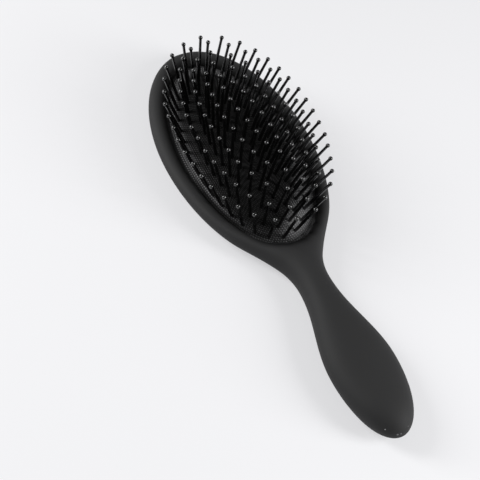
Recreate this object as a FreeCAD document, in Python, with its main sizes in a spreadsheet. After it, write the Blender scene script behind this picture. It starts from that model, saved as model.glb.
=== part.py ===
import FreeCAD, Part
import math
import os

from FreeCAD import Placement, Rotation, Vector

os.makedirs("parts", exist_ok=True)
doc = FreeCAD.newDocument("grooming_brush")

# Driving dimensions, in millimetres and degrees.
# The brush lies on its back: X across it, Y towards the tip of the head, Z the way the pins stand.
# Reaches and places are measured along the brush, heights from the surface it lies on.
driving = {
    "brush_length": 232.0,
    "head_half_width": 37.4,
    "head_front_reach": 64.0,
    "head_rear_reach": 68.5,
    "head_back_depth": 7.3,
    "head_rim_height": 6.6,
    "head_edge_power": 2.8,
    "rim_fullness": 0.8,
    "back_fullness": 0.66,
    "shoulder_gap": 2.0,
    "shoulder_half_width": 11.2,
    "shoulder_hollow": 0.7,
    "waist_gap": 13.9,
    "waist_half_width": 7.7,
    "waist_half_thickness": 7.7,
    "grip_end_reach": 36.0,
    "grip_half_width": 16.2,
    "grip_half_thickness": 8.8,
    "grip_edge_power": 2.0,
    "grip_fullness": 0.58,
    "front_rim": 10.9,
    "rear_rim": 8.2,
    "side_rim": 9.4,
    "cushion_rise": 11.3,
    "cushion_curve_height": 30.0,
    "rubber_thickness": 1.4,
    "flange_width": 3.4,
    "flange_thickness": 1.6,
    "flange_clearance": 0.15,
    "seat_height": 6.4,
    "chamber_inset": 2.0,
    "chamber_floor": 3.2,
    "moat_width": 1.6,
    "lip_height": 10.6,
    "lip_flare": 1.6,
    "vent_distance": 34.4,
    "vent_radius": 0.8,
    "pin_reach": 21.0,
    "pin_field_shift": 0.9,
    "pin_radius": 0.9,
    "pin_ball_radius": 1.2,
    "pin_head_radius": 1.6,
    "pin_head_thickness": 0.7,
    "pin_clearance": 0.1,
}

# What follows from them: the cushion leaves the rim its width all round.
derived = {
    "head_end": "=brush_length / 2",
    "grip_end": "=-brush_length / 2",
    "head_middle": "=head_end - head_front_reach",
    "cushion_half_width": "=head_half_width - side_rim",
    "cushion_half_length": "=(head_front_reach + head_rear_reach - front_rim - rear_rim) / 2",
    "cushion_place": "=head_end - front_rim - cushion_half_length",
    "shoulder_place": "=head_middle - head_rear_reach - shoulder_gap",
    "waist_place": "=shoulder_place - waist_gap",
    "grip_place": "=grip_end + grip_end_reach",
    "vent_place": "=cushion_place - vent_distance",
    "pin_field_place": "=cushion_place - pin_field_shift",
    "flange_top": "=seat_height + flange_thickness",
    "flange_outset": "=flange_width - flange_clearance",
    "dome_drop": "=cushion_curve_height - cushion_rise",
}

# The rings of pins, from the rim inwards: how many pins, what share of the cushion's half width and
# half length the ring has, how far it is turned and where its first pin stands, in degrees.
rings = [
    {"name": "outer", "pins": 36, "width_share": 0.804, "length_share": 0.878, "turn": -0.5, "start": 1.8},
    {"name": "second", "pins": 32, "width_share": 0.636, "length_share": 0.794, "turn": -0.4, "start": 4.7},
    {"name": "third", "pins": 26, "width_share": 0.464, "length_share": 0.675, "turn": 1.2, "start": 4.5},
    {"name": "fourth", "pins": 20, "width_share": 0.289, "length_share": 0.545, "turn": 3.6, "start": 2.5},
    {"name": "inner", "pins": 14, "width_share": 0.104, "length_share": 0.399, "turn": 5.8, "start": -1.7},
]
for ring in rings:
    derived[ring["name"] + "_ring_half_width"] = f"=cushion_half_width * {ring['width_share']}"
    derived[ring["name"] + "_ring_half_length"] = f"=cushion_half_length * {ring['length_share']}"

sheet = doc.addObject("Spreadsheet::Sheet", "sizes")
for row, (alias, number) in enumerate({**driving, **derived}.items(), start=1):
    sheet.set(f"A{row}", alias.replace("_", " "))
    sheet.set(f"B{row}", str(number))
    sheet.setAlias(f"B{row}", alias)
doc.recompute()


def size(alias):
    return float(sheet.get(alias))


def bind(item, **formulas):
    for name, formula in formulas.items():
        item.setExpression(name.replace("__", "."), formula)


def oval(sides, half_width, half_length, height):
    # Points of an oval round the cushion's middle, its long axis along the brush.
    points = []
    for number in range(sides):
        angle = 2 * math.pi * (number + 0.5) / sides
        across = half_width * math.sin(angle)
        along = size("cushion_place") + half_length * math.cos(angle)
        points.append(Vector(across, along, height))
    return points


def faceted(name, rows):
    # A solid with flat faces through rows of points. A row of one point closes an end.
    faces = []
    for low, high in zip(rows, rows[1:]):
        count = max(len(low), len(high))
        for number in range(count):
            after = (number + 1) % count
            if len(low) == 1:
                corners = [(low[0], high[after], high[number])]
            elif len(high) == 1:
                corners = [(low[number], low[after], high[0])]
            elif low[number].distanceToPoint(high[after]) < low[after].distanceToPoint(high[number]):
                corners = [(low[number], low[after], high[after]), (low[number], high[after], high[number])]
            else:
                corners = [(low[number], low[after], high[number]), (low[after], high[after], high[number])]
            faces += [Part.Face(Part.makePolygon([*three, three[0]])) for three in corners]
    for row in (rows[0], rows[-1]):
        if len(row) > 1:
            faces.append(Part.Face(Part.makePolygon([*row, row[0]])))
    shell = Part.makeShell(faces)
    shell.sewShape()
    solid = Part.makeSolid(shell)
    if solid.Volume < 0:
        solid.reverse()
    block = doc.addObject("Part::Feature", name)
    block.Shape = solid.removeSplitter()
    return block


def raised(name, outline, height):
    # A flat outline raised to a height that the sheet gives.
    base = doc.addObject("Part::Feature", f"{name}_outline")
    base.Shape = Part.makePolygon([*outline, outline[0]])
    block = doc.addObject("Part::Extrusion", name)
    block.Base = base
    block.DirMode = "Custom"
    block.Dir = Vector(0, 0, 1)
    block.Solid = True
    bind(block, LengthFwd=height)
    return block


def joined(name, shapes):
    block = doc.addObject("Part::MultiFuse", name)
    block.Shapes = shapes
    return block


def cut(name, base, tool):
    block = doc.addObject("Part::Cut", name)
    block.Base = base
    block.Tool = tool
    return block


# Body: one moulding, from the head's tip to the end of the grip

quarter_facets = 7
edge_crowding = 1.2


def quarter(across, upward, fullness):
    # A quarter of a cross section, from its widest point to just before its highest or lowest.
    curve = Part.BezierCurve()
    curve.setPoles([
        Vector(across, 0, 0),
        Vector(across, 0, upward * fullness),
        Vector(across * fullness, 0, upward),
        Vector(0, 0, upward),
    ])
    shares = [number / quarter_facets for number in range(quarter_facets + 1)]
    return [curve.value(share ** edge_crowding) for share in shares]


def cross_section(place, half_width, below, above, height, full_below, full_above):
    right_top = quarter(half_width, above, full_above)
    left_top = quarter(-half_width, above, full_above)
    left_back = quarter(-half_width, -below, full_below)
    right_back = quarter(half_width, -below, full_below)
    outline = right_top[:-1] + left_top[:0:-1] + left_back[:-1] + right_back[:0:-1]
    sections.append([point + Vector(0, place, height) for point in outline])


def rounding(distance, reach, power):
    # How much of the full thickness is left at a distance from the edge.
    share = min(max(distance / reach, 0.0), 1.0)
    return (1.0 - (1.0 - share) ** power) ** (1.0 / power)


def between(first, second, share):
    return first * (1 - share) + second * share


sections = []
head_end = size("head_end")
grip_end = size("grip_end")
head_width = size("head_half_width")
depth = size("head_back_depth")
rim = size("head_rim_height")
head_angles = (6, 13, 21, 30, 40, 50, 60, 70, 80, 90, 100, 110, 120, 130, 139)

sections.append([Vector(0, head_end, depth)])
for angle in head_angles:
    reach = size("head_front_reach") if angle <= 90 else size("head_rear_reach")
    head_place = size("head_middle") + reach * math.cos(math.radians(angle))
    section_width = head_width * math.sin(math.radians(angle))
    share = rounding(head_end - head_place, head_width, size("head_edge_power"))
    cross_section(
        head_place, section_width, depth * share, rim * share, depth,
        size("back_fullness"), size("rim_fullness"),
    )

# Shoulder: half way to it the outline is a little hollow, behind it the neck narrows to the waist.
shoulder = size("shoulder_place")
shoulder_width = size("shoulder_half_width")
waist = size("waist_place")
waist_width = size("waist_half_width")
waist_thickness = size("waist_half_thickness")
grip_full = size("grip_fullness")
cross_section(
    between(head_place, shoulder, 0.5),
    between(section_width, shoulder_width, 0.5) - size("shoulder_hollow"),
    depth, between(rim, waist_thickness, 0.5), depth,
    between(size("back_fullness"), grip_full, 0.5), between(size("rim_fullness"), grip_full, 0.5),
)
neck_stations = 3
for number in range(neck_stations):
    share = number / neck_stations
    cross_section(
        between(shoulder, waist, share), between(waist_width, shoulder_width, (1 - share) ** 2),
        between(depth, waist_thickness, share), waist_thickness,
        between(depth, waist_thickness, share), grip_full, grip_full,
    )

grip = size("grip_place")
grip_width = size("grip_half_width")
grip_thickness = size("grip_half_thickness")
grip_stations = 8
for number in range(grip_stations + 1):
    share = number / grip_stations
    swell = (1 - math.cos(math.pi * share)) / 2
    half_thickness = between(waist_thickness, grip_thickness, swell)
    cross_section(
        between(waist, grip, share), between(waist_width, grip_width, swell),
        half_thickness, half_thickness, half_thickness, grip_full, grip_full,
    )

grip_end_angles = (78, 66, 54, 43, 33, 24, 16, 8)
for angle in grip_end_angles:
    place = between(grip, grip_end, math.cos(math.radians(angle)))
    half_thickness = grip_thickness * rounding(place - grip_end, grip_width, size("grip_edge_power"))
    cross_section(
        place, grip_width * math.sin(math.radians(angle)),
        half_thickness, half_thickness, grip_thickness, grip_full, grip_full,
    )
sections.append([Vector(0, grip_end, grip_thickness)])
blank = faceted("body_blank", sections)

rim_facets = 56


def cushion_oval(outset, height, sides=rim_facets):
    # An oval at a distance outside the cushion's edge.
    return oval(sides, size("cushion_half_width") + outset, size("cushion_half_length") + outset, height)


chamber = raised(
    "air_chamber",
    cushion_oval(-size("chamber_inset"), size("chamber_floor")),
    "sizes.seat_height - sizes.chamber_floor",
)
groove = raised(
    "flange_groove",
    cushion_oval(size("flange_width"), size("seat_height")),
    "sizes.flange_thickness + sizes.flange_clearance",
)
# The mouth's wall stands round the moat, then its lip flares outwards: how many flares out and up.
moat = size("moat_width")
lip = size("lip_height")
flare = size("lip_flare")
lip_rows = [(0, 0), (0.3, 0.7), (1, 1.2), (3, 1.7), (4, 4)]
mouth = faceted("mouth", [cushion_oval(moat, size("seat_height"))] + [
    cushion_oval(moat + out * flare, lip + up * flare) for out, up in lip_rows
])
body = cut("body", blank, joined("body_hollow", [chamber, groove, mouth]))

# Cushion: a domed rubber skin over the air chamber, its flange held in the groove

curve_height = size("cushion_curve_height")
drop = size("dome_drop")
rubber = size("rubber_thickness")
dome_scale = math.sqrt(1 - (drop / curve_height) ** 2)
dome_radii = (
    size("cushion_half_width") / dome_scale,
    size("cushion_half_length") / dome_scale,
    curve_height,
)
dome_centre = Vector(0, size("cushion_place"), size("flange_top") - drop)


def dome(name, sides, inset, lowest, shares, foot):
    # The curved rubber from a straight foot over its edge at the lowest height to its crown.
    across, along, upward = (radius - inset for radius in dome_radii)
    edge_angle = math.asin((lowest - dome_centre.z) / upward)
    rows = []
    for share in shares:
        angle = between(edge_angle, math.pi / 2, share)
        height = dome_centre.z + upward * math.sin(angle)
        rows.append(oval(sides, across * math.cos(angle), along * math.cos(angle), height))
    rows.insert(0, [Vector(point.x, point.y, foot) for point in rows[0]])
    rows.append([dome_centre + Vector(0, 0, upward)])
    return faceted(name, rows)


seat = size("seat_height")
outer_dome = dome("outer_dome", 40, 0, size("flange_top"), (0, 0.14, 0.3, 0.46, 0.62, 0.8), seat)
inner_dome = dome("inner_dome", 28, rubber, seat, (0, 0.2, 0.45, 0.72), seat - rubber)
flange = raised("flange", cushion_oval(size("flange_outset"), seat), "sizes.flange_thickness")
skin = cut("rubber_skin", joined("flanged_dome", [outer_dome, flange]), inner_dome)

# Pins: nylon, pushed through the rubber from below until their heads meet it

pin_sides = 4


def on_dome(across, along):
    # The placement of something standing upright on the dome, at a distance from its middle.
    rest = 1 - (across / dome_radii[0]) ** 2 - (along / dome_radii[1]) ** 2
    point = Vector(across, along, curve_height * math.sqrt(rest))
    upright = Vector(
        point.x / dome_radii[0] ** 2,
        point.y / dome_radii[1] ** 2,
        point.z / dome_radii[2] ** 2,
    )
    return Placement(dome_centre + point, Rotation(Vector(0, 0, 1), upright))


def ring_places(ring):
    # Pins stand at equal distances along the oval, the first near its end towards the head's tip.
    half_width = size(ring["name"] + "_ring_half_width")
    half_length = size(ring["name"] + "_ring_half_length")
    steps = 720
    lengths = [0.0]
    for step in range(steps):
        angle = 2 * math.pi * (step + 0.5) / steps
        slope = math.hypot(half_width * math.cos(angle), half_length * math.sin(angle))
        lengths.append(lengths[-1] + slope * 2 * math.pi / steps)
    turned = ring["turn"]
    field = Vector(0, size("pin_field_place") - size("cushion_place"), 0)
    places = []
    step = 0
    for number in range(ring["pins"]):
        target = lengths[-1] * number / ring["pins"]
        while lengths[step + 1] < target:
            step += 1
        within = (target - lengths[step]) / (lengths[step + 1] - lengths[step])
        angle = 2 * math.pi * (step + within) / steps + math.radians(ring["start"])
        spot = Vector(half_width * math.sin(angle), half_length * math.cos(angle), 0)
        spot = field + Rotation(Vector(0, 0, 1), turned).multVec(spot)
        places.append(on_dome(spot.x, spot.y))
    return places


def flat_sided(name, stages):
    # A straight stem with flat sides, through a polygon at each stage of its length.
    stations = []
    for step, (radius, height) in enumerate(stages):
        if radius is None:
            station = doc.addObject("Part::Vertex", f"{name}_tip")
            bind(station, Z=height)
        else:
            station = doc.addObject("Part::RegularPolygon", f"{name}_polygon_{step}")
            station.Polygon = pin_sides
            bind(station, Circumradius=radius, Placement__Base__z=height)
        stations.append(station)
    stem = doc.addObject("Part::Loft", name)
    stem.Sections = stations
    stem.Solid = True
    stem.Ruled = True
    stem.Linearize = True
    return stem


# The shank widens to the ball over a little less than the ball's radius.
pin = flat_sided("pin", [
    ("sizes.pin_head_radius", "-sizes.rubber_thickness - sizes.pin_head_thickness"),
    ("sizes.pin_radius", "-sizes.rubber_thickness"),
    ("sizes.pin_radius", "sizes.pin_reach - 0.8 * sizes.pin_ball_radius"),
    ("sizes.pin_ball_radius", "sizes.pin_reach"),
    (None, "sizes.pin_reach + sizes.pin_ball_radius"),
])
pin_hole = flat_sided("pin_hole", [
    ("sizes.pin_radius + sizes.pin_clearance", "-2 * sizes.rubber_thickness"),
    ("sizes.pin_radius + sizes.pin_clearance", "sizes.rubber_thickness"),
])
vent = doc.addObject("Part::Cylinder", "vent_hole")
bind(vent, Radius="sizes.vent_radius", Height="4 * sizes.rubber_thickness")
doc.recompute()

standing = on_dome(0, size("vent_place") - size("cushion_place"))
vent.Placement = standing.multiply(Placement(Vector(0, 0, -2 * rubber), Rotation()))


def copies(name, shape, places):
    group = doc.addObject("Part::Feature", name)
    group.Shape = Part.makeCompound([shape.transformed(place.toMatrix(), True) for place in places])
    return group


all_places = []
pin_groups = []
quarters = ("head_right", "grip_right", "grip_left", "head_left")
for ring in rings:
    places = ring_places(ring)
    all_places += places
    for index, side in enumerate(quarters):
        share = [place for number, place in enumerate(places) if number * 4 // ring["pins"] == index]
        pin_groups.append(copies(f"{ring['name']}_pins_{side}", pin.Shape, share))
pin_holes = copies("pin_holes", pin_hole.Shape, all_places)
cushion = cut("cushion", cut("vented_skin", skin, vent), pin_holes)

# Each sub-part goes to a file of its own

body.Label = "body"
cushion.Label = "cushion"
doc.recompute()
for item in doc.Objects:
    if "Invalid" in item.State or "Error" in item.State:
        raise RuntimeError(f"{item.Label} did not build")
sub_parts = [body, cushion] + pin_groups
for item in sub_parts:
    if item.Shape.isNull() or not item.Shape.isValid():
        raise RuntimeError(f"{item.Label} has no valid shape")
    item.Shape.exportStep(f"parts/{item.Label}.step")
    print(item.Label, len(item.Shape.Solids), round(item.Shape.Volume, 1))
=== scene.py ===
import math
import random

import bmesh
import bpy
from mathutils import Matrix, Vector


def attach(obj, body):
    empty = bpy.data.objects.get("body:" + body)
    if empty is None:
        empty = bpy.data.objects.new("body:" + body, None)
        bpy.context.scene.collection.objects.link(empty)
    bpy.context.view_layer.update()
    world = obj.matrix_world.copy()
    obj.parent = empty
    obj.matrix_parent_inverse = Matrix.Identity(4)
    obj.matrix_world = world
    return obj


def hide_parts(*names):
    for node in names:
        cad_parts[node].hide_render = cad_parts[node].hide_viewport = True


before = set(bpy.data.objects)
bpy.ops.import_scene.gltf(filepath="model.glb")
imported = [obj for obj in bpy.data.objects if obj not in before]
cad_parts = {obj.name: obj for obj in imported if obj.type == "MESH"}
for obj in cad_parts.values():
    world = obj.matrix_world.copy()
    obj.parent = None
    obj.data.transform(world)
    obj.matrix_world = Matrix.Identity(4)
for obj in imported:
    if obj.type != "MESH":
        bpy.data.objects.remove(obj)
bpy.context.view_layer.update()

mm = 0.001
mergeDistance = 0.0005  # in a mesh that is still in millimetres
nodeMergeDistance = 0.00001  # in the mesh of a CAD node, in metres
print("frame loaded:", len(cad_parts), "nodes")


# shader helpers

class Value:
    # wraps a socket, so that shader maths reads as plain expressions
    def __init__(self, shade, socket):
        self.shade = shade
        self.socket = socket

    def maths(self, operation, first, second):
        return self.shade.node("ShaderNodeMath", {"operation": operation}, {0: first, 1: second})

    def __add__(self, other):
        return self.maths("ADD", self, other)

    def __radd__(self, other):
        return self.maths("ADD", other, self)

    def __sub__(self, other):
        return self.maths("SUBTRACT", self, other)

    def __rsub__(self, other):
        return self.maths("SUBTRACT", other, self)

    def __mul__(self, other):
        return self.maths("MULTIPLY", self, other)

    def __rmul__(self, other):
        return self.maths("MULTIPLY", other, self)

    def __truediv__(self, other):
        return self.maths("DIVIDE", self, other)

    def __pow__(self, other):
        return self.maths("POWER", self, other)


class Shade:
    # one material and its node tree
    def __init__(self, name):
        self.material = bpy.data.materials.new(name)
        self.material.use_nodes = True
        self.tree = self.material.node_tree
        self.surface = self.tree.nodes["Principled BSDF"]
        self.output = self.tree.nodes["Material Output"]

    def node(self, kind, settings=None, values=None, output=0):
        made = self.tree.nodes.new(kind)
        for key, setting in (settings or {}).items():
            setattr(made, key, setting)
        self.feed(made, values or {})
        return Value(self, made.outputs[output])

    def feed(self, made, values):
        for key, value in values.items():
            if isinstance(value, Value):
                self.tree.links.new(value.socket, made.inputs[key])
            else:
                made.inputs[key].default_value = value

    def finish(self, **values):
        self.feed(self.surface, {key.replace("_", " "): value for key, value in values.items()})
        return self.material

    def place(self):
        return self.node("ShaderNodeTexCoord", output="Object")

    def split(self, vector):
        # the x, y and z of a vector
        parts = self.node("ShaderNodeSeparateXYZ", {}, {"Vector": vector}).socket.node
        return [Value(self, socket) for socket in parts.outputs]

    def noise(self, scale, detail):
        return self.node("ShaderNodeTexNoise", {}, {
            "Vector": self.place(), "Scale": scale, "Detail": detail,
        })

    def near(self, place, inner, outer):
        # 1 within the inner reach of a place and 0 past the outer one, in millimetres
        gap = self.node("ShaderNodeVectorMath", {"operation": "DISTANCE"}, {
            0: self.place(), 1: [value * mm for value in place],
        }, output="Value")
        return self.ramp(gap, outer * mm, inner * mm)

    def ramp(self, value, low, high):
        # 0 below low, 1 above high, smooth between
        return self.node("ShaderNodeMapRange", {"interpolation_type": "SMOOTHSTEP"}, {
            "Value": value, "From Min": low, "From Max": high,
        })

    def mix(self, share, first, second):
        # blends two colours
        return self.node("ShaderNodeMix", {"data_type": "RGBA"}, {
            0: share, 6: first, 7: second,
        }, output=2)

    def bump(self, height, distance, strength=1.0):
        return self.node("ShaderNodeBump", {}, {
            "Height": height, "Distance": distance, "Strength": strength,
        })


def grey(level):
    return (level, level, level * 1.02, 1)


# mesh helpers

sharpAngle = 50  # degrees, past which an edge of a cut piece stays crisp


def smoothed(piece, angle=None):
    for face in piece.data.polygons:
        face.use_smooth = True
    if angle:
        piece.data.set_sharp_from_angle(angle=math.radians(angle))


def newPiece(name, mesh, material, nodes):
    piece = bpy.data.objects.new(name, mesh)
    bpy.context.scene.collection.objects.link(piece)
    piece.data.materials.append(material)
    smoothed(piece)
    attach(piece, "root")
    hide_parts(*nodes)
    return piece


def loopEdges(verts):
    # the edges that join these points to each other
    own = set(verts)
    touching = {edge for vert in verts for edge in vert.link_edges}
    return [edge for edge in touching if own.issuperset(edge.verts)]


def bridged(bm, loops):
    for low, high in zip(loops, loops[1:]):
        bmesh.ops.bridge_loops(bm, edges=loopEdges(low) + loopEdges(high))


def closed(bm, loop, centre):
    # closes the end of a stack of loops with a fan
    grown = bmesh.ops.extrude_edge_only(bm, edges=loopEdges(loop))["geom"]
    tip = [item for item in grown if isinstance(item, bmesh.types.BMVert)]
    bmesh.ops.pointmerge(bm, verts=tip, merge_co=centre)


def ovalStack(bm, rows, place, segments):
    # ovals one after another, each grown from the last: half width, half length, height
    loop = bmesh.ops.create_circle(bm, segments=segments, radius=1)["verts"]
    edges = loopEdges(loop)
    first, last = loop, (1, 1, 0)
    for number, row in enumerate(rows):
        if number:
            grown = bmesh.ops.extrude_edge_only(bm, edges=edges)["geom"]
            loop = [item for item in grown if isinstance(item, bmesh.types.BMVert)]
            edges = [item for item in grown if isinstance(item, bmesh.types.BMEdge)]
        else:
            bmesh.ops.translate(bm, vec=(0, place, 0), verts=loop)
        middle = Matrix.Translation((0, -place, 0))
        bmesh.ops.scale(bm, vec=(row[0] / last[0], row[1] / last[1], 1), space=middle, verts=loop)
        bmesh.ops.translate(bm, vec=(0, 0, row[2] - last[2]), verts=loop)
        last = row
    return first, loop


def scaledMesh(bm, name):
    # millimetres to metres, with every face pointing outwards
    bmesh.ops.recalc_face_normals(bm, faces=bm.faces)
    bmesh.ops.scale(bm, vec=(mm, mm, mm), verts=bm.verts)
    mesh = bpy.data.meshes.new(name)
    bm.to_mesh(mesh)
    bm.free()
    return mesh


def settle(piece):
    # applies the modifiers of a piece
    graph = bpy.context.evaluated_depsgraph_get()
    mesh = bpy.data.meshes.new_from_object(piece.evaluated_get(graph))
    piece.modifiers.clear()
    piece.data = mesh


def cutAway(piece, cutterMesh):
    cutter = bpy.data.objects.new("cutter", cutterMesh)
    bpy.context.scene.collection.objects.link(cutter)
    boolean = piece.modifiers.new("Cut", "BOOLEAN")
    boolean.operation = "DIFFERENCE"
    boolean.solver = "EXACT"
    boolean.object = cutter
    settle(piece)
    bpy.data.objects.remove(cutter)


# body

bodyShape = {
    "length": 232.0,
    "headHalfWidth": 37.4, "headFrontReach": 64.0, "headRearReach": 68.5, "headRounding": 2.8,
    "headAngles": (4, 8, 13, 21, 30, 40, 50, 60, 70, 80, 90, 100, 110, 120, 130, 139),
    "backDepth": 7.3, "rimHeight": 6.6, "rimFullness": 0.8, "backFullness": 0.66,
    "shoulderPlace": -18.5, "shoulderHalfWidth": 11.2, "shoulderHollow": 0.7,
    "waistPlace": -32.4, "waistHalfWidth": 7.7, "waistHalfThickness": 7.7,
    "neckSteps": 4, "gripSteps": 8,
    "gripPlace": -80.0, "gripHalfWidth": 16.2, "gripHalfThickness": 8.8, "gripFullness": 0.58,
    "gripRounding": 2.0, "gripAngles": (78, 66, 54, 43, 33, 24, 16, 10, 5),
    "roundSegments": 36, "roundSpread": 1.2, "smoothLevels": 2,
}
recessShape = {
    "moatWidth": 1.6, "rollWidth": 6.5, "rollDepth": 3.4, "grooveWidth": 3.4, "grooveTop": 8.15,
    "seatHeight": 6.4, "chamberInset": 2.0, "chamberFloor": 3.2, "cutterTop": 30,
    "roundSegments": 160,
    "rollCuts": 3, "rollFloor": 9, "fineInside": 3, "fineOutside": 2, "fineSlope": 0.3,
}


def bezierQuarter(share, fullness):
    # a quarter of a cross section, from its widest point to its highest
    t = share ** bodyShape["roundSpread"]
    s = 1 - t
    across = s ** 3 + 3 * s * s * t + 3 * s * t * t * fullness
    upward = 3 * s * s * t * fullness + 3 * s * t * t + t ** 3
    return across, upward


def sectionLoop(bm, place, halfWidth, below, above, height, backFull, topFull):
    loop = bmesh.ops.create_circle(bm, segments=bodyShape["roundSegments"], radius=1)["verts"]
    for vert in loop:
        share = math.acos(min(1, abs(vert.co.x))) / (math.pi / 2)
        upper = vert.co.y > 0
        across, upward = bezierQuarter(share, topFull if upper else backFull)
        across = math.copysign(across * halfWidth, vert.co.x)
        vert.co = (across, place, height + (upward * above if upper else -upward * below))
    return loop


def rounding(distance, reach, power):
    # how thick the piece is this far from its end: 0 at the end, 1 from the reach on
    share = min(max(distance / reach, 0), 1)
    return (1 - (1 - share) ** power) ** (1 / power)


def bodyStations():
    # from the head's tip to the grip's end: place, half width, depth below and rise above the
    # widest level, that level's height, and how full the section is below and above it
    shape = bodyShape
    headEnd = shape["length"] / 2
    depth, rim = shape["backDepth"], shape["rimHeight"]
    headMiddle = headEnd - shape["headFrontReach"]
    for angle in shape["headAngles"]:
        reach = shape["headFrontReach"] if angle <= 90 else shape["headRearReach"]
        place = headMiddle + reach * math.cos(math.radians(angle))
        share = rounding(headEnd - place, shape["headHalfWidth"], shape["headRounding"])
        width = shape["headHalfWidth"] * math.sin(math.radians(angle))
        yield (place, width, depth * share, rim * share, depth,
               shape["backFullness"], shape["rimFullness"])
    waist, waistWidth = shape["waistPlace"], shape["waistHalfWidth"]
    waistThick, full = shape["waistHalfThickness"], shape["gripFullness"]
    shoulder, shoulderWidth = shape["shoulderPlace"], shape["shoulderHalfWidth"]
    yield ((place + shoulder) / 2, (width + shoulderWidth) / 2 - shape["shoulderHollow"],
           depth, (rim + waistThick) / 2, depth,
           (shape["backFullness"] + full) / 2, (shape["rimFullness"] + full) / 2)
    for number in range(shape["neckSteps"]):
        share = number / shape["neckSteps"]
        below = depth * (1 - share) + waistThick * share
        yield (shoulder + (waist - shoulder) * share,
               waistWidth + (shoulderWidth - waistWidth) * (1 - share) ** 2,
               below, waistThick, below, full, full)
    grip, gripWidth = shape["gripPlace"], shape["gripHalfWidth"]
    gripThick = shape["gripHalfThickness"]
    for number in range(shape["gripSteps"] + 1):
        share = number / shape["gripSteps"]
        swell = (1 - math.cos(math.pi * share)) / 2
        thick = waistThick * (1 - swell) + gripThick * swell
        yield (waist + (grip - waist) * share, waistWidth * (1 - swell) + gripWidth * swell,
               thick, thick, thick, full, full)
    for angle in shape["gripAngles"]:
        place = grip - (headEnd + grip) * math.cos(math.radians(angle))
        thick = gripThick * rounding(place + headEnd, gripWidth, shape["gripRounding"])
        yield place, gripWidth * math.sin(math.radians(angle)), thick, thick, gripThick, full, full


def makeBody(material):
    bm = bmesh.new()
    loops = [sectionLoop(bm, *station) for station in bodyStations()]
    bridged(bm, loops)
    closed(bm, loops[0], (0, bodyShape["length"] / 2, bodyShape["backDepth"]))
    closed(bm, loops[-1], (0, -bodyShape["length"] / 2, bodyShape["gripHalfThickness"]))
    piece = newPiece("brushBody", scaledMesh(bm, "brushBody"), material, ["body"])
    rounder = piece.modifiers.new("Rounder", "SUBSURF")
    rounder.levels = rounder.render_levels = bodyShape["smoothLevels"]
    settle(piece)
    rollMouth(piece.data)
    cutAway(piece, recessMesh())
    smoothed(piece, sharpAngle)


def outset(point):
    # about how far a point lies outside the cushion's edge, seen from above, in millimetres
    halfWidth, halfLength = cushionShape["halfWidth"], cushionShape["halfLength"]
    across, along = point.x / mm, point.y / mm - cushionShape["place"]
    level = math.hypot(across / halfWidth, along / halfLength)
    slope = math.hypot(across / halfWidth ** 2, along / halfLength ** 2) / level
    return (level - 1) / slope


def rollMouth(mesh):
    # the rim rounds over into the mouth: finer faces there, then a quarter of an ellipse down
    shape = recessShape
    inner, width, depth = (shape[key] for key in ("moatWidth", "rollWidth", "rollDepth"))
    least, most = inner - shape["fineInside"], inner + width + shape["fineOutside"]
    bm = bmesh.new()
    bm.from_mesh(mesh)
    near = [
        face for face in bm.faces
        if face.normal.z > shape["fineSlope"] and least < outset(face.calc_center_median()) < most
    ]
    bmesh.ops.subdivide_edges(bm, edges=list({edge for face in near for edge in face.edges}),
                              cuts=shape["rollCuts"], use_grid_fill=True)
    middle = Vector((0, cushionShape["place"]))
    for vert in bm.verts:
        if vert.co.z < shape["rollFloor"] * mm or (vert.co.xy / mm - middle).length < 1:
            continue
        share = (inner + width - outset(vert.co)) / width
        if share > 0:
            vert.co.z -= depth * mm * (1 - math.sqrt(1 - min(share, 1) ** 2))
    bm.to_mesh(mesh)
    bm.free()


def recessMesh():
    # the cutter for the seat, groove and mouth that hold the cushion
    shape = recessShape
    chamber, groove, moat = -shape["chamberInset"], shape["grooveWidth"], shape["moatWidth"]
    steps = [
        (chamber, shape["chamberFloor"]), (chamber, shape["seatHeight"]),
        (groove, shape["seatHeight"]), (groove, shape["grooveTop"]),
        (moat, shape["grooveTop"]), (moat, shape["cutterTop"]),
    ]
    bm = bmesh.new()
    halfWidth, halfLength = cushionShape["halfWidth"], cushionShape["halfLength"]
    rows = [(halfWidth + out, halfLength + out, height) for out, height in steps]
    for loop in ovalStack(bm, rows, cushionShape["place"], shape["roundSegments"]):
        bmesh.ops.edgeloop_fill(bm, edges=loopEdges(loop))
    return scaledMesh(bm, "recess")


# cushion

cushionShape = {
    "place": 48.4, "halfWidth": 28.0, "halfLength": 56.7, "rise": 11.3, "curveHeight": 30.0,
    "rubber": 1.4, "flangeWidth": 3.25, "flangeTop": 8.0,
    "ventPlace": 14.0, "ventRadius": 0.8, "ventSegments": 24, "ventDepth": 6,
    "roundSegments": 128, "domeSteps": 26, "innerSteps": 12,
    "footOut": 0.7, "footIn": 0.25, "footRise": 0.1, "domeStart": 0.5,
    "grainTurns": 720, "grainSlices": 24,
}


def domeRadii(inset):
    # half width, half length and height of the dome's whole ellipsoid, and how high its middle lies
    shape = cushionShape
    drop = shape["curveHeight"] - shape["rise"]
    scale = math.sqrt(1 - (drop / shape["curveHeight"]) ** 2)
    return (shape["halfWidth"] / scale - inset, shape["halfLength"] / scale - inset,
            shape["curveHeight"] - inset, shape["flangeTop"] - drop)


def domeRow(inset, angle):
    across, along, upward, centre = domeRadii(inset)
    share = math.cos(angle)
    return across * share, along * share, centre + upward * math.sin(angle)


def domeAngle(inset, height):
    upward, centre = domeRadii(inset)[2:]
    return math.asin((height - centre) / upward)


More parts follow.
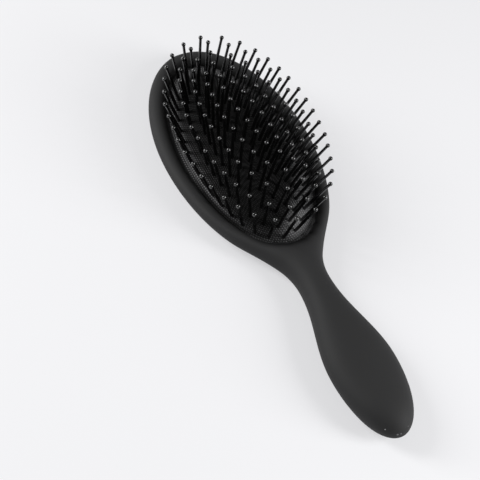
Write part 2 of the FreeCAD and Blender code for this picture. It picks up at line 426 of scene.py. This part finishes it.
def makeCushion(material):
    shape = cushionShape
    outer, flangeTop, seat = shape["flangeWidth"], shape["flangeTop"], recessShape["seatHeight"]

    def flangeRow(out, height):
        return shape["halfWidth"] + out, shape["halfLength"] + out, height

    # one stack: from the inner crown down to the seat, round the flange and up to the outer crown
    inner = domeAngle(shape["rubber"], seat)
    steps, small = shape["innerSteps"], shape["footRise"]
    rows = [
        domeRow(shape["rubber"], inner + (math.pi / 2 - inner) * number / steps)
        for number in reversed(range(steps))
    ]
    rows += [
        flangeRow(outer, seat), flangeRow(outer, flangeTop - small),
        flangeRow(outer - small, flangeTop), flangeRow(shape["footOut"], flangeTop),
        flangeRow(shape["footIn"], flangeTop + small),
    ]
    first = domeAngle(0, flangeTop + shape["domeStart"])
    steps = shape["domeSteps"]
    rows += [domeRow(0, first + (math.pi / 2 - first) * number / steps) for number in range(steps)]
    bm = bmesh.new()
    place, top = shape["place"], flangeTop + shape["rise"]
    innerCrown, crown = ovalStack(bm, rows, place, shape["roundSegments"])
    closed(bm, innerCrown, (0, place, top - shape["rubber"]))
    closed(bm, crown, (0, place, top))
    grainMap(bm)
    mesh = scaledMesh(bm, "rubberCushion")
    piece = newPiece("rubberCushion", mesh, material, ["cushion"])
    cutAway(piece, ventMesh())
    smoothed(piece, sharpAngle)


def grainMap(bm):
    # u goes once round the cushion, v is how far up the dome a point lies, in millimetres
    across, along, upward, centre = domeRadii(0)
    edge = domeAngle(0, cushionShape["flangeTop"])
    turns, slices = cushionShape["grainTurns"], cushionShape["grainSlices"]
    lengths = [0.0]
    for number in range(turns):
        angle = 2 * math.pi * (number + 0.5) / turns
        lengths.append(lengths[-1] + math.hypot(across * math.sin(angle), along * math.cos(angle)))

    def spot(point):
        away = (point.x / across, (point.y - cushionShape["place"]) / along)
        angle = math.atan2(away[1], away[0]) % (2 * math.pi)
        number = int(angle / (2 * math.pi) * turns) % turns
        within = angle / (2 * math.pi) * turns - number
        u = (lengths[number] + (lengths[number + 1] - lengths[number]) * within) / lengths[-1]
        reach = math.hypot(across * math.cos(angle), along * math.sin(angle))
        height = math.asin(max(-1, min(1, (point.z - centre) / upward)))
        v = 0.0
        for part in range(slices):
            middle = edge + (height - edge) * (part + 0.5) / slices
            stride = math.hypot(reach * math.sin(middle), upward * math.cos(middle))
            v += stride * (height - edge) / slices
        return u, v

    spots = {vert: spot(vert.co) for vert in bm.verts}
    layer = bm.loops.layers.uv.new("grain")
    for face in bm.faces:
        own = [spots[corner.vert] for corner in face.loops]
        wraps = max(u for u, v in own) - min(u for u, v in own) > 0.5
        for corner, (u, v) in zip(face.loops, own):
            corner[layer].uv = (u + 1 if wraps and u < 0.5 else u, v)


def domePlace(across, along, inset=0):
    # a spot on the dome and the way the surface faces there
    wide, long, high, centre = domeRadii(inset)
    offset = along - cushionShape["place"]
    height = high * math.sqrt(1 - (across / wide) ** 2 - (offset / long) ** 2)
    upright = Vector((across / wide ** 2, offset / long ** 2, height / high ** 2))
    return Vector((across, along, centre + height)), upright.normalized()


def ventMesh():
    spot, upright = domePlace(0, cushionShape["ventPlace"])
    bm = bmesh.new()
    radius = cushionShape["ventRadius"]
    bmesh.ops.create_cone(bm, cap_ends=True, segments=cushionShape["ventSegments"],
                          radius1=radius, radius2=radius, depth=cushionShape["ventDepth"])
    turned = Matrix.Translation(spot) @ upright.to_track_quat("Z", "Y").to_matrix().to_4x4()
    bmesh.ops.transform(bm, matrix=turned, verts=bm.verts)
    return scaledMesh(bm, "vent")


# pins

pinShape = {
    "radius": 0.8, "neckRadius": 0.68, "ballRadius": 1.05, "tipHeight": 1.2, "reach": 21.0,
    "taperFrom": 0.35, "taperTo": 0.8, "neckGap": 0.25, "ballSteps": 7,
    "headRadius": 1.5, "headThickness": 0.7, "headEdge": 0.35, "roundSegments": 18, "lean": 0.9,
    "footShift": (-1.2, -1.2), "footSpread": (1.06, 1.025), "cadSides": 4, "chance": 7,
}


def pinProfile():
    # radius and height above the rubber, from the flat head below it to the top of the ball
    shape = pinShape
    rubber = cushionShape["rubber"]
    base, head = -rubber - shape["headThickness"], shape["headRadius"]
    ball, neck, radius = shape["ballRadius"], shape["neckRadius"], shape["radius"]
    reach, steps = shape["reach"], shape["ballSteps"]
    start = math.asin(neck / ball)
    profile = [
        (0, base), (head, base), (head, base + shape["headEdge"]), (radius, -rubber), (radius, 0),
        (radius, shape["taperFrom"] * reach), (neck, shape["taperTo"] * reach),
        (neck, reach - ball * math.cos(start) - shape["neckGap"]),
    ]
    for number in range(steps):
        angle = start + (math.pi - start) * number / steps
        profile.append((ball * math.sin(angle), reach - ball * math.cos(angle)))
    return profile + [(0, reach + ball)]


def pinMesh():
    bm = bmesh.new()
    verts = [bm.verts.new((radius, 0, height)) for radius, height in pinProfile()]
    edges = [bm.edges.new(pair) for pair in zip(verts, verts[1:])]
    bmesh.ops.spin(bm, geom=verts + edges, cent=(0, 0, 0), axis=(0, 0, 1), angle=2 * math.pi,
                   steps=pinShape["roundSegments"], use_merge=True)
    bmesh.ops.remove_doubles(bm, verts=bm.verts, dist=mergeDistance)
    return scaledMesh(bm, "pin")


def islands(bm):
    # groups of points that hang together
    left = set(bm.verts)
    while left:
        group, queue = set(), [left.pop()]
        while queue:
            vert = queue.pop()
            group.add(vert)
            for edge in vert.link_edges:
                other = edge.other_vert(vert)
                if other in left:
                    left.discard(other)
                    queue.append(other)
        yield group


def pinAxes(node):
    # where each pin of a CAD node starts, and the middle of its ball
    bm = bmesh.new()
    bm.from_mesh(node.data)
    bmesh.ops.remove_doubles(bm, verts=bm.verts, dist=nodeMergeDistance)
    axes = []
    for group in islands(bm):
        tip = max(group, key=lambda vert: vert.co.z).co.copy()
        base = sorted(group, key=lambda vert: -(vert.co - tip).length)[:pinShape["cadSides"]]
        foot = sum((vert.co for vert in base), Vector()) / len(base)
        axes.append((foot, tip - (tip - foot).normalized() * pinShape["tipHeight"] * mm))
    bm.free()
    return sorted(axes, key=lambda axis: tuple(axis[0]))


def settledFoot(foot, tip):
    # where a used pin leaves the rubber, in millimetres: its soft seat has given way a little
    buried = (cushionShape["rubber"] + pinShape["headThickness"]) * mm
    spot = (foot + (tip - foot).normalized() * buried) / mm
    (shiftX, shiftY), (spreadX, spreadY) = pinShape["footShift"], pinShape["footSpread"]
    middle = cushionShape["place"]
    return domePlace(spot.x * spreadX + shiftX, middle + (spot.y - middle) * spreadY + shiftY)[0]


def makePins(material):
    chance = random.Random(pinShape["chance"])
    reach, most = pinShape["reach"] * mm, pinShape["lean"]
    single = pinMesh()
    for name, node in sorted(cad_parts.items()):
        if "_pins_" not in name:
            continue
        bm = bmesh.new()
        for foot, tip in pinAxes(node):
            count = len(bm.verts)
            bm.from_mesh(single)
            bm.verts.ensure_lookup_table()
            spot = settledFoot(foot, tip) * mm
            upright = (tip - spot).normalized()
            stretch = Matrix.Scale((tip - spot).length / reach, 4, (0, 0, 1))
            lean = Matrix.Rotation(math.radians(chance.uniform(-1, 1) * most), 4, "X")
            lean @= Matrix.Rotation(math.radians(chance.uniform(-1, 1) * most), 4, "Y")
            turned = upright.to_track_quat("Z", "Y").to_matrix().to_4x4()
            placed = Matrix.Translation(spot) @ turned @ lean @ stretch
            bmesh.ops.transform(bm, matrix=placed, verts=bm.verts[count:])
        mesh = bpy.data.meshes.new(name)
        bm.to_mesh(mesh)
        bm.free()
        newPiece("pins." + name, mesh, material, [name])


# finishes

bodyFinish = {
    "colour": 0.026, "unevenness": 0.15, "patchScale": 18,
    # painted shade in the mouth: its near black colour, and the band over which the coat fades into
    # it
    "mouthShadeColour": 0.003, "mouthShadeBand": (2.2, 6.2),
    # where the painted mouth shade is moved closer to the mouth: place, inner reach and outer reach
    "mouthShadeShiftSpot": ((-24.0, 20.0, 10.0), 10, 30), "mouthShadeShift": 1.8,
    "roughness": 0.66, "roughnessSpread": 0.1, "specular": 0.24,
    "grainScale": 2600, "grainDepth": 0.04, "grainStrength": 0.5,
    # lint and scuffs at the grip's end: place, radius and tone
    "marks": [
        ((-6.8, -111.7, 11.5), 0.34, 0.5), ((-2.3, -115.3, 10.3), 0.6, 0.16),
        ((-0.8, -115.6, 10.6), 0.5, 0.13), ((3.2, -114.1, 11.9), 0.4, 0.08),
    ],
}


def bodyMaterial():
    shade = Shade("softTouchBlack")
    finish = bodyFinish
    patches = shade.noise(finish["patchScale"], 3)
    grain = shade.noise(finish["grainScale"], 2)
    colour, uneven = finish["colour"], finish["unevenness"]
    coat = shade.mix(patches, grey(colour * (1 - uneven)), grey(colour * (1 + uneven)))
    # painted shade: the coat is painted near black where the rim rolls into the mouth, as outset()
    # measures it
    halfWidth, halfLength = cushionShape["halfWidth"], cushionShape["halfLength"]
    x, y = shade.split(shade.place())[:2]
    across, along = x / mm / halfWidth, (y / mm - cushionShape["place"]) / halfLength
    level = (across * across + along * along) ** 0.5
    across, along = across / halfWidth, along / halfLength
    away = (level - 1) * level / (across * across + along * along) ** 0.5
    # near that spot the painted mouth shade is pushed closer to the mouth
    away = away + shade.near(*finish["mouthShadeShiftSpot"]) * finish["mouthShadeShift"]
    outsideMouthShade = shade.ramp(away, *finish["mouthShadeBand"])
    for place, radius, tone in finish["marks"]:
        coat = shade.mix(shade.near(place, radius / 2, radius), coat, grey(tone))
    return shade.finish(
        Base_Color=shade.mix(outsideMouthShade, grey(finish["mouthShadeColour"]), coat),
        Roughness=finish["roughness"] + finish["roughnessSpread"] * (patches - 0.5),
        Specular_IOR_Level=finish["specular"],
        Normal=shade.bump(grain, finish["grainDepth"] * mm, finish["grainStrength"]),
    )


rubberFinish = {
    # tones of the weave, with painted light and shade: dark on the crown as in the pins' shade,
    # lighter at the open edge as if lit from the side, and how far in the lit edge reaches
    "gap": 0.001, "knot": 0.022, "litEdgeGap": 0.045, "litEdgeKnot": 0.215, "litEdgeBand": (2.5, 8.0),
    # how much further in the painted light of the open edge reaches on the right and by the grip
    "litSide": 2.5, "litSideSlant": 0.6, "litSideBand": (-10, 10),
    # patches of painted shade: place, inner reach and outer reach, and how much darker
    "shadePatches": [((-9.0, -4.0, 10.0), 3, 14, 0.6), ((-19.0, 8.0, 10.0), 3, 20, 0.55)],
    # a patch of painted light: place, inner reach and outer reach, then its gap and knot tones
    "litPatch": ((10.0, -4.0, 10.0), 4, 15), "litGap": 0.13, "litKnot": 0.3,
    "footShade": ((-24.0, 20.0, 10.0), 10, 30), "footBand": (1.0, 2.6),
    "gapRoughness": 0.8, "knotRoughness": 0.45, "specular": 0.2,
    "pitch": 1.05, "pitchAround": 1.3, "depth": 0.4,
    "knotBand": (0.15, 0.75), "plainRows": (-0.5, 0.8),
}


def rubberMaterial():
    shade = Shade("wovenRubber")
    finish = rubberFinish
    pitch, pitchAround = finish["pitch"], finish["pitchAround"]
    across, along = cushionShape["halfWidth"], cushionShape["halfLength"]
    perimeter = math.pi * (
        3 * (across + along) - math.sqrt((3 * across + along) * (across + 3 * along))
    )
    u, v = shade.split(shade.node("ShaderNodeUVMap", {"uv_map": "grain"}))[:2]
    v = v / pitch  # rows of the weave up the dome
    row = shade.node("ShaderNodeMath", {"operation": "FLOOR"}, {0: v})
    count = shade.node("ShaderNodeMath", {"operation": "ROUND"}, {
        0: (perimeter - row * (2 * math.pi * pitch)) / pitchAround,
    })
    around = shade.node("ShaderNodeMath", {"operation": "COSINE"}, {0: u * count * (2 * math.pi)})
    inward = shade.node("ShaderNodeMath", {"operation": "COSINE"}, {0: (v - 0.5) * (2 * math.pi)})
    knots = shade.ramp((around + 1) * (inward + 1) * 0.25, *finish["knotBand"])
    shown = shade.ramp(v, *finish["plainRows"])
    # painted light and shade: the crown darker as in the pins' shade, the open edge lighter as if
    # lit from the side
    x, y = shade.split(shade.place())[:2]
    # the painted light reaches further in on the right and by the grip
    side = x - finish["litSideSlant"] * y
    litSide = shade.ramp(side, *(reach * mm for reach in finish["litSideBand"]))
    inside = v / (litSide * finish["litSide"] + 1)
    paintedShade = shade.ramp(inside, *(reach / pitch for reach in finish["litEdgeBand"]))
    # patches of painted shade towards the grip, and one of painted light
    for place, inner, outer, share in finish["shadePatches"]:
        paintedShade = 1 - (1 - paintedShade) * (1 - shade.near(place, inner, outer) * share)
    # painted light on the heel's right, outside the painted shade
    litSpot = shade.near(*finish["litPatch"]) * (1 - paintedShade)
    gap = shade.mix(paintedShade * shown, grey(finish["litEdgeGap"]), grey(finish["gap"]))
    gap = shade.mix(litSpot, gap, grey(finish["litGap"]))
    knot = shade.mix(paintedShade, grey(finish["litEdgeKnot"]), grey(finish["knot"]))
    knot = shade.mix(litSpot, knot, grey(finish["litKnot"]))
    tone = shade.mix(knots * shown, gap, knot)
    # the rim shades the rubber's foot where it is widest
    lit = shade.ramp(v, *(reach / pitch for reach in finish["footBand"]))
    tone = shade.mix(shade.near(*finish["footShade"]) * (1 - lit), tone, grey(finish["gap"]))
    polish = finish["knotRoughness"] - finish["gapRoughness"]
    return shade.finish(
        Base_Color=tone,
        Roughness=finish["gapRoughness"] + knots * shown * polish,
        Specular_IOR_Level=finish["specular"],
        Normal=shade.bump(knots * shown, finish["depth"] * mm),
    )


pinFinish = {
    "colour": 0.002, "darkest": 0.8, "palest": 1.3, "patchScale": 220,
    "roughness": 0.10, "roughnessSpread": 0.04, "specular": 1.0,
}


def pinMaterial():
    shade = Shade("blackNylon")
    finish = pinFinish
    patches = shade.noise(finish["patchScale"], 2)
    darkest, palest = (grey(finish["colour"] * finish[key]) for key in ("darkest", "palest"))
    return shade.finish(
        Base_Color=shade.mix(patches, darkest, palest),
        Roughness=finish["roughness"] + finish["roughnessSpread"] * (patches - 0.5),
        Specular_IOR_Level=finish["specular"],
    )


# stage

lights = {
    "left": {"place": (-0.54, 0.44, 0.42), "width": 0.3, "height": 0.55, "power": 5.6},
    "right": {"place": (0.55, -0.50, 0.40), "width": 0.3, "height": 0.55, "power": 6.2},
}
view = {
    "place": (-0.2619, -0.3362, 0.5588),
    "right": (0.8973, -0.4209, 0.1331),
    "down": (-0.2711, -0.7633, -0.5864),
    "lens": 112.5, "sensor": 36, "nearest": 0.01, "furthest": 50,
}
stageLook = {
    # painted light: the paper's tone near the camera and further back
    "nearTone": 0.94, "farTone": 0.88, "toneBand": (-0.25, 0.25),
    "patchScale": 3, "patchSpread": 0.02,
    "paperRoughness": 0.9, "paperSpecular": 0.1, "size": 30,
    "shown": 0.55,  # how much of the paper's own colour the camera sees unlit
    "world": 0.18, "aim": (0, 0.02, 0.01),
}


def makeLights():
    for name, setting in lights.items():
        lamp = bpy.data.lights.new(name, "AREA")
        lamp.shape = "RECTANGLE"
        lamp.size, lamp.size_y = setting["width"], setting["height"]
        lamp.energy = setting["power"]
        holder = bpy.data.objects.new(name, lamp)
        holder.location = setting["place"]
        ahead = Vector(stageLook["aim"]) - holder.location
        holder.rotation_euler = ahead.to_track_quat("-Z", "Y").to_euler()
        bpy.context.scene.collection.objects.link(holder)
    world = bpy.data.worlds.new("studio")
    world.use_nodes = True
    background = world.node_tree.nodes["Background"]
    background.inputs["Color"].default_value = (1, 1, 1, 1)
    background.inputs["Strength"].default_value = stageLook["world"]
    bpy.context.scene.world = world


def makeFloor():
    bm = bmesh.new()
    bmesh.ops.create_grid(bm, x_segments=1, y_segments=1, size=stageLook["size"])
    mesh = bpy.data.meshes.new("floor")
    bm.to_mesh(mesh)
    bm.free()
    floor = bpy.data.objects.new("floor", mesh)
    bpy.context.scene.collection.objects.link(floor)
    shade = Shade("palePaper")
    y = shade.split(shade.place())[1]
    patches = shade.noise(stageLook["patchScale"], 2)
    # painted light: the paper is lighter towards the camera and greyer further back
    far = shade.ramp(y + stageLook["patchSpread"] * (patches - 0.5), *stageLook["toneBand"])
    tone = shade.mix(far, grey(stageLook["nearTone"]), grey(stageLook["farTone"]))
    paper = shade.finish(
        Base_Color=tone,
        Roughness=stageLook["paperRoughness"],
        Specular_IOR_Level=stageLook["paperSpecular"],
    )
    rays = shade.node("ShaderNodeLightPath").socket.node.outputs
    seen = Value(shade, rays["Is Camera Ray"])
    for kind in ("Is Glossy Ray", "Is Transmission Ray"):
        seen = seen + Value(shade, rays[kind])
    glow = shade.node("ShaderNodeEmission", {}, {"Color": tone, "Strength": 1.0})
    blend = shade.node("ShaderNodeMixShader", {}, {
        0: seen * stageLook["shown"], 1: Value(shade, shade.surface.outputs[0]), 2: glow,
    })
    shade.feed(shade.output, {"Surface": blend})
    floor.data.materials.append(paper)


def makeCamera():
    # at the photo's viewing angle
    right, down = Vector(view["right"]).normalized(), Vector(view["down"])
    down = (down - right * down.dot(right)).normalized()
    forward = right.cross(down)
    turned = Matrix((right, -down, -forward)).transposed().to_4x4()
    camera = bpy.data.objects.new("camera", bpy.data.cameras.new("camera"))
    camera.data.lens = view["lens"]
    camera.data.sensor_width = view["sensor"]
    camera.data.clip_start, camera.data.clip_end = view["nearest"], view["furthest"]
    camera.matrix_world = Matrix.Translation(view["place"]) @ turned
    bpy.context.scene.collection.objects.link(camera)
    bpy.context.scene.camera = camera


makeBody(bodyMaterial())
print("body made")
makeCushion(rubberMaterial())
print("cushion made")
makePins(pinMaterial())
print("pins made")
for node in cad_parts.values():  # the solids that the pieces replace have a finish too
    node.data.materials.clear()
    node.data.materials.append(bpy.data.materials["softTouchBlack"])
makeFloor()
makeLights()
makeCamera()
bpy.context.scene.view_settings.view_transform = "Standard"
print("stage made")
